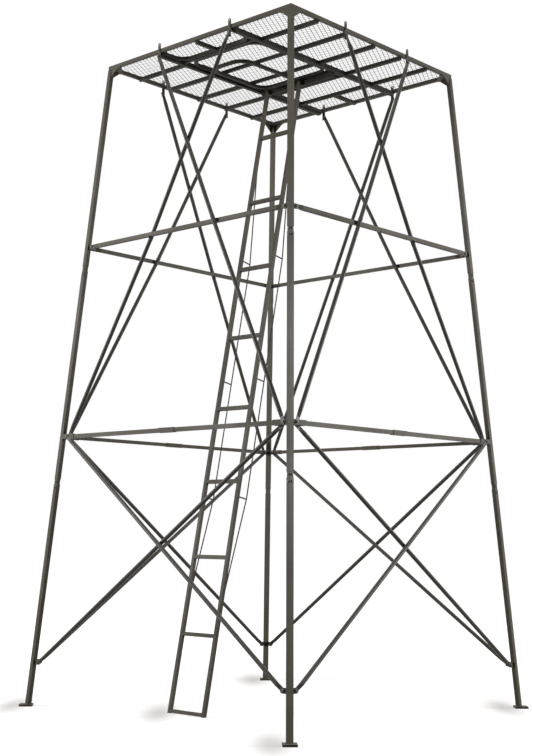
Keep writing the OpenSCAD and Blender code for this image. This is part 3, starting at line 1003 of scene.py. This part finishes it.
@dataclass
class Studio:
    """Camera, floor, lamps and world."""

    shape: TowerShape
    place: Triple = (5.0722, -5.592, 0.95)
    azimuth: float = 42.7179
    elevation: float = -6.7213
    roll: float = 0.5652
    lens: float = 63.3

    def build(self) -> None:
        """Builds the whole studio."""
        self.camera()
        self.floor()
        self.lamps()
        self.world()
        bpy.context.scene.view_settings.view_transform = "Standard"

    def camera(self) -> None:
        """Places the camera, which looks slightly up at the deck's underside."""
        data = bpy.data.cameras.new("camera")
        data.lens = self.lens
        data.sensor_width = 36.0
        data.clip_end = 100.0
        camera = bpy.data.objects.new("camera", data)
        bpy.context.scene.collection.objects.link(camera)
        a, e = math.radians(self.azimuth), math.radians(self.elevation)
        back = Vector((math.sin(a) * math.cos(e), -math.cos(a) * math.cos(e), math.sin(e)))
        right = Vector((math.cos(a), math.sin(a), 0))
        up = back.cross(right)
        turn = Matrix((right, up, back)).transposed()
        roll = Matrix.Rotation(math.radians(self.roll), 3, "Z")
        camera.matrix_world = Matrix.Translation(self.place) @ (turn @ roll).to_4x4()
        bpy.context.scene.camera = camera

    def floor(self) -> None:
        """A pale floor that keeps the tower's shadow and meets a white background."""
        mesh = bpy.data.meshes.new("studio_floor")
        size = 40.0
        mesh.from_pydata([(-size, -size, 0), (size, -size, 0), (size, size, 0), (-size, size, 0)],
                         [], [(0, 1, 2, 3)])
        floor = bpy.data.objects.new("studio_floor", mesh)
        bpy.context.scene.collection.objects.link(floor)
        mesh.materials.append(self.pale_floor())

    def pale_floor(self) -> bpy.types.Material:
        """Makes the floor's material: nearly white to the camera, darker to the tower."""
        material = bpy.data.materials.new("pale_floor")
        material.use_nodes = True
        tree = material.node_tree
        tree.nodes.clear()
        out = add_node(tree, "ShaderNodeOutputMaterial")
        matt = add_node(tree, "ShaderNodeBsdfDiffuse")
        set_inputs(matt, {"Color": (0.15, 0.145, 0.14, 1.0)})
        pale = add_node(tree, "ShaderNodeBsdfDiffuse")
        set_inputs(pale, {"Color": (0.60, 0.585, 0.575, 1.0)})
        glow = add_node(tree, "ShaderNodeEmission")
        place = add_node(tree, "ShaderNodeTexCoord")
        reach = add_node(tree, "ShaderNodeVectorMath", operation="LENGTH")
        fade = add_node(tree, "ShaderNodeMapRange")
        set_inputs(fade, {"From Min": 1.5, "From Max": 4.0, "To Min": 0.66, "To Max": 1.0})
        both = add_node(tree, "ShaderNodeAddShader")
        dark = add_node(tree, "ShaderNodeEmission")
        set_inputs(dark, {"Color": (0.16, 0.12, 0.11, 1.0)})
        dim = add_node(tree, "ShaderNodeMixShader")
        seen = add_node(tree, "ShaderNodeMixShader")
        link = tree.links.new
        link(place.outputs["Object"], reach.inputs[0])
        link(reach.outputs["Value"], fade.inputs["Value"])
        link(fade.outputs["Result"], glow.inputs["Strength"])
        link(pale.outputs[0], both.inputs[0])
        link(glow.outputs[0], both.inputs[1])
        link(self.foot_shades(tree, place.outputs["Object"]), dim.inputs["Fac"])
        link(both.outputs[0], dim.inputs[1])
        link(dark.outputs[0], dim.inputs[2])
        link(backdrop_rays(tree), seen.inputs["Fac"])
        link(matt.outputs[0], seen.inputs[1])
        link(dim.outputs[0], seen.inputs[2])
        link(seen.outputs[0], out.inputs["Surface"])
        return material

    def foot_shades(self, tree: bpy.types.NodeTree, place: bpy.types.NodeSocket
                    ) -> bpy.types.NodeSocket:
        """Adds the soft shade on the floor beside each leg's foot and the ladder's.

        Args:
            tree: the floor's node tree.
            place: the position on the floor.

        Returns:
            The socket with the shade's depth, 0 to 1.
        """
        group = shade_patch_group()
        angle = math.radians(self.azimuth)
        turned = add_node(tree, "ShaderNodeMapping", vector_type="TEXTURE")
        set_inputs(turned, {"Rotation": (0, 0, angle)})
        tree.links.new(place, turned.inputs["Vector"])
        turn = Matrix.Rotation(-angle, 3, "Z")
        base = self.shape.base
        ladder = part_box("ladder_stile_left")[0]
        beside = Vector((-0.080, 0.02, 0))      # to the camera's left
        feet = [Vector((sx * base, sy * base, 0)) for sx in (-1, 1) for sy in (-1, 1)]
        feet.append(Vector((ladder[0] + 0.05, ladder[1], 0)))
        shades = []
        for foot in feet:
            patch = group.place_in(tree, {"Centre": turn @ foot + beside})
            tree.links.new(turned.outputs["Vector"], patch.inputs["Place"])
            shades.append(patch.outputs["Shade"])
        total = shades[0]
        for shade in shades[1:]:
            most = add_node(tree, "ShaderNodeMath", operation="MAXIMUM")
            tree.links.new(total, most.inputs[0])
            tree.links.new(shade, most.inputs[1])
            total = most.outputs[0]
        return total

    def lamps(self) -> None:
        """Soft boxes on both sides of the camera's line, and a weak one from above."""
        self.soft_box("left_box", (-4.2, -5.4, 3.4), (0, 0, 1.8), 2.8, 380.0)
        self.soft_box("right_box", (5.4, 4.2, 3.2), (0, 0, 1.8), 2.8, 340.0)
        self.soft_box("top_box", (1.0, -1.2, 9.5), (0, 0, 2.0), 4.0, 200.0)

    @staticmethod
    def soft_box(name: str, place: Triple, aim: Triple, size: float, power: float) -> None:
        """Adds one area lamp.

        Args:
            name: its name.
            place: where it stands.
            aim: the point that it looks at.
            size: side of its square.
            power: its power in watts.
        """
        data = bpy.data.lights.new(name, "AREA")
        data.size = size
        data.energy = power
        lamp = bpy.data.objects.new(name, data)
        lamp.location = place
        way = Vector(aim) - Vector(place)
        lamp.rotation_euler = way.to_track_quat("-Z", "Y").to_euler()
        bpy.context.scene.collection.objects.link(lamp)

    @staticmethod
    def world() -> None:
        """A white backdrop to the camera and to gloss, and a soft fill to the rest."""
        world = bpy.data.worlds.new("studio_world")
        world.use_nodes = True
        bpy.context.scene.world = world
        tree = world.node_tree
        tree.nodes.clear()
        out = add_node(tree, "ShaderNodeOutputWorld")
        fill = add_node(tree, "ShaderNodeBackground")
        set_inputs(fill, {"Strength": 0.065})
        white = add_node(tree, "ShaderNodeBackground")
        set_inputs(white, {"Color": (1, 1, 1, 1), "Strength": 1.0})
        mix = add_node(tree, "ShaderNodeMixShader")
        link = tree.links.new
        link(backdrop_rays(tree), mix.inputs["Fac"])
        link(fill.outputs[0], mix.inputs[1])
        link(white.outputs[0], mix.inputs[2])
        link(mix.outputs[0], out.inputs["Surface"])


def main() -> None:
    """Builds the studio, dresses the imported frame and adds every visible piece."""
    logging.basicConfig(level=logging.INFO, format="%(message)s")
    effects = Effects()
    shape = read_shape()
    Studio(shape).build()
    # The deck's coat holds painted shade: it is darker than the tubes' coat to stand in for the
    # shade under the deck.
    tube, brace, deck = (c.build(effects) for c in (TUBE_COAT, BRACE_COAT, DECK_COAT_AND_SHADE))
    rod, zinc = ROD_COAT.build(effects), BOLT_ZINC.build(effects)
    coats = {"lower_braces": brace, "upper_braces": brace, "deck_beam": deck, "side_joists": deck,
             "front_panel": deck, "back_panel": deck, "hatch_frame": deck, "hatch_loop": deck,
             "hatch_hinges": zinc, "ladder_truss": rod, "": tube}
    CarriedFrame(coats).dress()
    # The mesh coat holds painted shade: it is darker than the tubes' coat to stand in for the shade
    # under the deck.
    DeckMesh(StretchedMesh(MESH_COAT_AND_SHADE.build(effects))).build()
    Fasteners(shape, zinc).build()
    Welds(shape, WELD_COAT.build(effects)).build()


if __name__ == "__main__":
    main()
